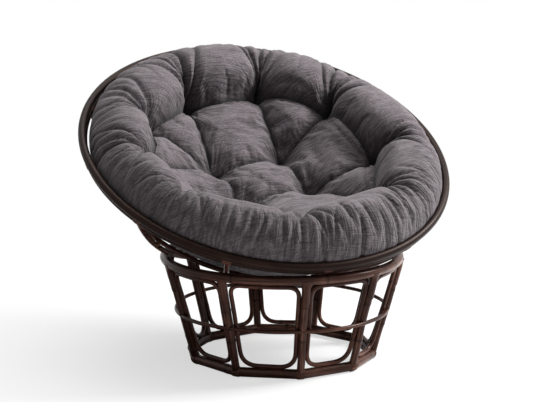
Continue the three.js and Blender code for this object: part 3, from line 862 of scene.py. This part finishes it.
for k, (tuft, next_tuft) in enumerate(zip(outer_tufts, next_tufts)):
    depth, fade, width, turned = right_wide_fold if k == 0 else wide_fold
    out_turn = outer_turns[k] - turned
    straight_out = flat_place(seam_along, out_turn)
    bow = rng.uniform(-wide_fold_scatter, wide_fold_scatter)
    distance, share = along_line(cover_pattern, bowed(tuft, straight_out, bow))
    lobes.append(depth * (1 - share) ** fade * valley(distance, width))
    middle_fade = front_fade if sin(outer_turns[k]) < 0 else back_fade
    for g, (lean, depth, width) in enumerate(gather_rows):
        fade = middle_fade if g == middle_gather else 1
        end_turn = out_turn + lean + rng.uniform(-gather_turn_scatter, gather_turn_scatter)
        bow = rng.uniform(-gather_bow_scatter, gather_bow_scatter)
        distance, share = along_line(cover_pattern, bowed(tuft, flat_place(seam_along, end_turn), bow))
        faded = (1 - share) ** fade * np.clip(share / gather_start_share, 0, 1)
        gathers.append(depth * rng.uniform(0.8, 1.2) * faded * valley(distance, width))
    for bow, depth in beside_groove:
        distance, share = along_line(cover_pattern, bowed(tuft, next_tuft, bow * rng.uniform(0.7, 1.3)))
        gathers.append(depth * np.sin(pi * share) * valley(distance, beside_groove_width))
pleat_turns = np.cumsum(rng.uniform(0.5, 1.5, pleat_count))
pleat_turns = 2 * pi * pleat_turns / pleat_turns[-1]
crest_along = crown_along(0.76 * cushion_radius)
for pleat_turn in pleat_turns:
    start_along = crest_along + rng.uniform(*pleat_starts)
    end_along = min(start_along + rng.uniform(*pleat_lengths), seam_along + pleat_past_seam)
    end_turn = pleat_turn + rng.uniform(-pleat_turn_scatter, pleat_turn_scatter)
    bow = rng.uniform(-pleat_bow_scatter, pleat_bow_scatter)
    pleat = bowed(flat_place(start_along, pleat_turn), flat_place(end_along, end_turn), bow, 5)
    distance, share = along_line(cover_pattern, pleat)
    front = 0.35 + 0.65 * max(0, -sin(pleat_turn + 0.2)) ** 0.7
    depth = front * rng.uniform(*pleat_depths)
    gathers.append(depth * np.sin(pi * (0.1 + 0.9 * share)) * valley(distance, rng.uniform(*pleat_widths)))
gathered = deepest(gathers) * on_roll

# Before it is filled, the cover is pulled down along the cushion's axis and drawn in square to its surface.
# The seat is sat in a little at its front left, and the roll overhangs the rim at the back.
fill_room = 0.011
fill_room_less_behind = 0.007
sat_in_depth = 0.06
sat_in_share, sat_in_spread_share = 0.4, 0.16
overhang_reach = 0.015
overhang_height, overhang_spread = 0.06, 0.03
outer_side_share = 0.85
cover_radius = np.interp(cloth_along, profile_along, profile[:, 0])
cover_height = np.interp(cloth_along, profile_along, profile[:, 1])
moved, height_left = pressed(cover_radius / cushion_radius, cloth_turn_share)
cover_radius = np.where(cloth_along < profile_along[widest], moved * cushion_radius, cover_radius)
over_rim = np.maximum(cover_height - rim_plane, 0)
overhang = overhang_reach * around_turn(cloth_turn_share, 0.31, 0.26)
overhang = overhang * np.exp(-((over_rim - overhang_height) / overhang_spread) ** 2)
cover_radius = cover_radius + overhang * (cover_radius > outer_side_share * cushion_radius)
sat_in = sat_in_depth * around_turn(cloth_turn_share, 0.585, 0.13)
sat_in = sat_in * np.exp(-((cover_radius / cushion_radius - sat_in_share) / sat_in_spread_share) ** 2)
cover_height = cover_height + (height_left - 1) * over_rim - sewn - sat_in * on_top
across_slope = np.interp(cloth_along, profile_along, slope[:, 1])[:, None]
down_slope = np.interp(cloth_along, profile_along, slope[:, 0])[:, None]
outward = turned_out(cloth_turn, cushion_back)
inward = across_slope * outward - down_slope * cushion_axis
drawn_in = fill_room - fill_room_less_behind * around_turn(cloth_turn_share, 0.25, 0.25)
drawn_in = drawn_in * np.clip(1 - sewn / inner_tuft_depth, 0, 1) * on_top + deepest(lobes) * on_roll
cover_places = sphere_middle + cover_radius[:, None] * outward + cover_height[:, None] * cushion_axis
cover_places = cover_places + drawn_in[:, None] * inward

# Filling: a cloth of every second point is let out by a few hundredths, held at the tufts, in the folds and
# under the pad, and blown up by the fill's pressure, so it swells between the folds and wrinkles beside them.
fill_frames = 20
fill_pressure = 3
cloth_let_out = 0.035
farthest_move = 0.02
held_round_tuft = 0.012
held_beside_fold = 0.005
held_past_seam = 0.1
swell_fade = 0.09


def doubled(grid):
    """The same values on a grid twice as fine, by the cubic through four neighbours along each side."""
    for axis in (0, 1):
        grid = np.moveaxis(grid, axis, 0)
        longer = np.concatenate([2 * grid[:1] - grid[1:2], grid, 2 * grid[-1:] - grid[-2:-1]])
        between = (9 * (longer[1:-2] + longer[2:-1]) - longer[:-3] - longer[3:]) / 16
        finer = np.empty((2 * len(grid) - 1, *grid.shape[1:]))
        finer[::2] = grid
        finer[1::2] = between
        grid = np.moveaxis(finer, 0, axis)
    return grid


coarse_top, coarse_low, coarse_faces = numbered((cells + 1) // 2)
coarse = listed(top_numbers[::2, ::2], low_numbers[::2, ::2])
cloth_mesh = bpy.data.meshes.new("cloth_before_filling")
cloth_mesh.from_pydata(cover_places[coarse], [], coarse_faces.tolist())
cloth_piece = in_scene("cloth_before_filling", cloth_mesh)
in_fold = (fold_away < held_beside_fold) & (cloth_along < seam_along)
held = (tuft_away < held_round_tuft) | in_fold | (cloth_along > seam_along + held_past_seam)
pins = cloth_piece.vertex_groups.new(name="held")
pins.add(np.flatnonzero(held[coarse]).tolist(), 1.0, "REPLACE")
cloth = cloth_piece.modifiers.new("filling", "CLOTH")
settings = cloth.settings
settings.quality = 6
settings.mass = 0.3
settings.tension_stiffness = 15
settings.compression_stiffness = 15
settings.shear_stiffness = 5
settings.bending_stiffness = 0.3
settings.use_pressure = True
settings.uniform_pressure_force = fill_pressure
settings.shrink_min = -cloth_let_out
settings.vertex_group_mass = "held"
settings.effector_weights.gravity = 0
cloth.collision_settings.use_collision = False
scene = bpy.context.scene
scene.frame_start, scene.frame_end = 1, fill_frames
cloth.point_cache.frame_start, cloth.point_cache.frame_end = 1, fill_frames
for filling_frame in range(1, fill_frames + 1):
    scene.frame_set(filling_frame)
filled = cloth_piece.evaluated_get(bpy.context.evaluated_depsgraph_get())
filled_places = np.empty(len(coarse) * 3)
filled.data.vertices.foreach_get("co", filled_places)
swollen = filled_places.reshape(-1, 3) - cover_places[coarse]
distance = np.linalg.norm(swollen, axis=1, keepdims=True)
swollen = swollen * np.minimum(1, farthest_move / np.maximum(distance, 1e-9))
swollen = listed(doubled(swollen[coarse_top]), doubled(swollen[coarse_low]))
over_held = before_seam(held_past_seam, swell_fade)[:, None]
cover_places = cover_places + swollen * over_held ** 2 * (3 - 2 * over_held)
bpy.data.objects.remove(cloth_piece)
bpy.data.meshes.remove(cloth_mesh)
scene.frame_set(1)
# The narrow gathers are tight threads' work, which the fill can't blow out, so they come after it
cover_places = cover_places + gathered[:, None] * inward


def crinkled_cotton(name):
    """Charcoal crinkled cotton, dry and matt: uneven ribs across the cloth, dark crinkles, and slubs.

    Fine wrinkles fan out from every tuft, and narrow pleats run down the roll, as bumps with painted shade
    along them, and painted shade darkens the cloth in the folds, round the tufts and in the gathers. The real
    yarns are too fine to show, so ribs and slubs are drawn as coarse as they need to be.
    """
    rib_pitch_mm = 5.5
    rib_length_mm = 30
    crinkle_spacing_mm = 9
    crinkle_length_mm = 110
    row_pitch_mm = 7.5
    row_patch_mm = 60
    slub_mm = 1.8
    patch_mm = 90
    rays_per_tuft = 26
    ray_length_mm = 90
    pleat_width_mm = 17.6
    pleat_length_mm = 130
    rib_share, slub_share, patch_share = 0.4, 0.6, 0.15
    yarn_greys = [(0.4, "#463f42"), (0.58, "#60595c"), (0.76, "#7c7479")]
    crinkle_grey = linear("#2b282b")
    painted_shade_grey = linear("#1a181a")
    material, tree, shader = new_material(name)
    node = partial(add_node, tree)

    def fold_lines(vector, scale, detail, distortion, width):
        """Thin lines where a noise crosses its middle: 1 on them, 0 from the width on."""
        noise = node("TexNoise", {"Vector": vector, "Scale": scale, "Detail": detail, "Roughness": 0.5,
                                  "Distortion": distortion})
        off_middle = node("Math", {0: noise, 1: 0.5}, operation="SUBTRACT")
        away = node("Math", {0: off_middle}, operation="ABSOLUTE")
        return node("MapRange", {0: away, 1: 0, 2: width, 3: 1, 4: 0})

    flat = node("Attribute", attribute_name="pattern", out="Vector")
    threads = node("VectorMath", {0: flat, 1: (rib_pitch_mm / rib_length_mm, 1, 0)}, operation="MULTIPLY")
    crinkled = node("VectorMath", {0: flat, 1: (crinkle_spacing_mm / crinkle_length_mm, 1, 0)},
                    operation="MULTIPLY")
    ribs = node("TexNoise", {"Vector": threads, "Scale": 1000 / rib_pitch_mm, "Detail": 3, "Roughness": 0.6})
    slubs = node("TexNoise", {"Vector": flat, "Scale": 1000 / (2 * slub_mm), "Detail": 2, "Roughness": 0.6})
    patches = node("TexNoise", {"Vector": flat, "Scale": 1000 / patch_mm, "Detail": 3, "Roughness": 0.5})
    tone = node("Math", {0: patches, 1: patch_share}, operation="MULTIPLY")
    tone = node("Math", {0: slubs, 1: slub_share, 2: tone}, operation="MULTIPLY_ADD")
    tone = node("Math", {0: ribs, 1: rib_share, 2: tone}, operation="MULTIPLY_ADD")
    colour = node("ValToRGB", {0: tone}, ramp=yarn_greys)

    rows = node("TexWave", {"Vector": flat, "Scale": 2 * pi / 20 * 1000 / row_pitch_mm, "Distortion": 1.5,
                            "Detail": 2, "Detail Scale": 0.25}, out="Fac", bands_direction="Y")
    row_lines = node("MapRange", {0: rows, 1: 0, 2: 0.3, 3: 1, 4: 0})
    row_patches = node("TexNoise", {"Vector": crinkled, "Scale": 1000 / row_patch_mm, "Detail": 2,
                                    "Roughness": 0.5})
    row_share = node("MapRange", {0: row_patches, 1: 0.4, 2: 0.6, 3: 0, 4: 0.8})
    row_lines = node("Math", {0: row_lines, 1: row_share}, operation="MULTIPLY")
    crinkles = fold_lines(crinkled, 1000 / (2 * crinkle_spacing_mm), 3, 0.6, 0.03)
    crinkles = node("Math", {0: crinkles, 1: row_lines}, operation="MAXIMUM")
    crinkle_share = node("Math", {0: crinkles, 1: 0.65}, operation="MULTIPLY")
    lined = node("Mix", {0: crinkle_share, 6: colour, 7: crinkle_grey}, out=2, data_type="RGBA")

    rays_share = rays_per_tuft / 6.28
    fan = node("VectorMath", {0: node("Attribute", attribute_name="tuft_rays", out="Vector"),
                              1: (rays_share, rays_share, 1000 / ray_length_mm)}, operation="MULTIPLY")
    ray_depth = node("Attribute", attribute_name="ray_depth", out="Fac")
    fan_loss = node("Math", {0: fold_lines(fan, 1, 1, 0.3, 0.12), 1: ray_depth}, operation="MULTIPLY")
    round_roll = node("VectorMath", {0: flat, 1: (1, 1, 0)}, operation="MULTIPLY")
    round_roll = node("VectorMath", {0: round_roll}, operation="NORMALIZE")
    down_roll = node("VectorMath", {0: flat, 1: (0, 0, 1000 / pleat_length_mm)}, operation="MULTIPLY")
    pleats_round = 1000 * cushion_radius / pleat_width_mm
    pleat_place = node("VectorMath", {0: round_roll, 1: (pleats_round, pleats_round, 0), 2: down_roll},
                       operation="MULTIPLY_ADD")
    pleat_depth = node("Attribute", attribute_name="pleat_depth", out="Fac")
    pleat_lines = fold_lines(pleat_place, 1, 2, 0.4, 0.1)
    pleat_loss = node("Math", {0: pleat_lines, 1: pleat_depth}, operation="MULTIPLY")
    loss = node("Math", {0: fan_loss, 1: pleat_loss}, operation="MAXIMUM")
    # Painted shade: along the wrinkle and pleat lines, and where the crease attribute says, the colour is
    # darkened towards a near-black grey.
    painted_wrinkle_shade = node("Math", {0: loss, 1: 0.5}, operation="MULTIPLY")
    painted_crease_shade = node("Attribute", attribute_name="painted_crease_shade", out="Fac")
    painted_crease_share = node("Math", {0: painted_crease_shade, 1: 0.9}, operation="MULTIPLY")
    painted_shade = node("Math", {0: painted_wrinkle_shade, 1: painted_crease_share}, operation="MAXIMUM")
    shaded = node("Mix", {0: painted_shade, 6: lined, 7: painted_shade_grey}, out=2, data_type="RGBA")

    unwrinkled = node("Math", {0: 1.0, 1: loss}, operation="SUBTRACT")
    wrinkles = node("Bump", {"Height": unwrinkled, "Strength": 0.6, "Distance": 0.004})
    weave = node("Math", {0: crinkles, 1: -0.5, 2: tone}, operation="MULTIPLY_ADD")
    relief = node("Bump", {"Height": weave, "Strength": 0.6, "Distance": 0.0016, "Normal": wrinkles})
    fill_inputs(tree, shader, {"Base Color": shaded, "Roughness": 0.95, "Specular IOR Level": 0.2,
                               "Sheen Weight": 0.12, "Sheen Roughness": 0.5, "Normal": relief})
    return material


# Painted shade in the cover's colour: how dark and how wide it is along the folds, round the tufts and in the
# gathers.
fold_shade, fold_shade_width = 0.7, 0.014
painted_fold_line, painted_fold_line_width = 0.3, 0.006
tuft_shade, tuft_shade_width = 0.85, 0.032
gather_shade, shaded_gather_depth = 0.8, 0.022
ray_reach = 0.075
pleats_before_crest, pleats_fade = 0.03, 0.07
mesh = bpy.data.meshes.new("cushion_cover")
mesh.from_pydata(cover_places, [], cover_faces.tolist())
nearest_tuft = np.argmin(np.linalg.norm(from_tufts, axis=2), axis=1)
from_tuft = from_tufts[np.arange(len(cover_pattern)), nearest_tuft]
front_share = np.clip(0.45 - 0.75 * np.sin(cloth_turn + 0.15), 0.15, 1)
# Painted shade where shade falls on the cover: in and beside the folds, round the tufts and in the gathers.
painted_crease_shade = fold_shade * np.exp(-(fold_away / fold_shade_width) ** 2)
painted_crease_shade = painted_crease_shade + painted_fold_line * np.exp(-(fold_away / painted_fold_line_width) ** 2)
painted_crease_shade = np.maximum(painted_crease_shade, tuft_shade * np.exp(-(tuft_away / tuft_shade_width) ** 2)) * on_top
painted_crease_shade = np.maximum(painted_crease_shade, gather_shade * np.clip(gathered / shaded_gather_depth, 0, 1) ** 1.5)
over_roll = np.clip((cloth_along - crest_along + pleats_before_crest) / pleats_fade, 0, 1)
store(mesh, "pattern", np.c_[cover_pattern, cloth_along])
store(mesh, "tuft_rays", np.c_[from_tuft / np.maximum(tuft_away, 1e-4)[:, None], tuft_away])
store(mesh, "ray_depth", np.exp(-(tuft_away / ray_reach) ** 2) * on_top)
store(mesh, "pleat_depth", front_share * over_roll)
store(mesh, "painted_crease_shade", painted_crease_shade)
mesh.shade_smooth()
mesh.materials.append(crinkled_cotton("charcoal_crinkled_cotton"))
cushion = in_scene("cushion_cover", mesh)
finer = cushion.modifiers.new("finer", "SUBSURF")
finer.levels = finer.render_levels = 1
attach(cushion, "cushion")
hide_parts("cushion")

# Floor: a plain sheet of matt white paper that goes on past the picture. It takes the chair's shadow, and
# glows white to the camera further out, so that it runs into the white behind the chair.
floor_half = 6
glow_from_share = 0.6
all_white_at = 1.7
floor_mesh = bpy.data.meshes.new("floor")
floor_corners = [(-floor_half, -floor_half, 0), (floor_half, -floor_half, 0), (floor_half, floor_half, 0),
                 (-floor_half, floor_half, 0)]
floor_mesh.from_pydata(floor_corners, [], [(0, 1, 2, 3)])
floor_material, floor_tree, paper = new_material("matt_white_paper")
fill_inputs(floor_tree, paper, {"Base Color": linear("#f4f4f4"), "Roughness": 0.9, "Specular IOR Level": 0.1})
glow = add_node(floor_tree, "Emission", {"Strength": 1})
from_chair = add_node(floor_tree, "VectorMath", {0: add_node(floor_tree, "TexCoord", out="Object")},
                      out="Value", operation="LENGTH")
white_share = add_node(floor_tree, "MapRange", {0: from_chair, 1: 0.0, 2: all_white_at,
                                                3: glow_from_share, 4: 1},
                       interpolation_type="SMOOTHSTEP")
to_camera = add_node(floor_tree, "LightPath", out="Is Camera Ray")
glow_share = add_node(floor_tree, "Math", {0: white_share, 1: to_camera}, operation="MULTIPLY")
lit_or_glowing = add_node(floor_tree, "MixShader", {0: glow_share, 1: paper.outputs[0], 2: glow})
floor_tree.links.new(lit_or_glowing, floor_tree.nodes["Material Output"].inputs["Surface"])
floor_mesh.materials.append(floor_material)
in_scene("floor", floor_mesh)

# Light: one large soft window high on the chair's left, which is the picture's right, a weaker and wider
# ceiling light above, and a white room that shows as white and lights the chair a little.
room_light = 0.16
world = bpy.data.worlds.new("white_room")
bpy.context.scene.world = world
world.use_nodes = True
world_tree = world.node_tree
shown = add_node(world_tree, "LightPath", out="Is Camera Ray")
for ray in ("Is Glossy Ray", "Is Transmission Ray"):
    seen = add_node(world_tree, "LightPath", out=ray)
    shown = add_node(world_tree, "Math", {0: shown, 1: seen}, operation="MAXIMUM")
level = add_node(world_tree, "MapRange", {0: shown, 3: room_light, 4: 1.0})
fill_inputs(world_tree, world_tree.nodes["Background"], {"Color": (1, 1, 1, 1), "Strength": level})


def soft_lamp(name, place, aim, size, power):
    """A square soft light at a place, turned to a point."""
    data = bpy.data.lights.new(name, "AREA")
    data.size = size
    data.energy = power
    lamp = in_scene(name, data)
    lamp.location = place
    lamp.rotation_euler = turned_to(place, aim)


soft_lamp("window_light", (2.9, -0.7, 2.75), (0, 0, 0.5), 1.3, 265)
soft_lamp("ceiling_light", (0.2, 0.5, 3.3), (0, 0, 0.4), 2.4, 75)

bpy.context.scene.view_settings.view_transform = "Standard"
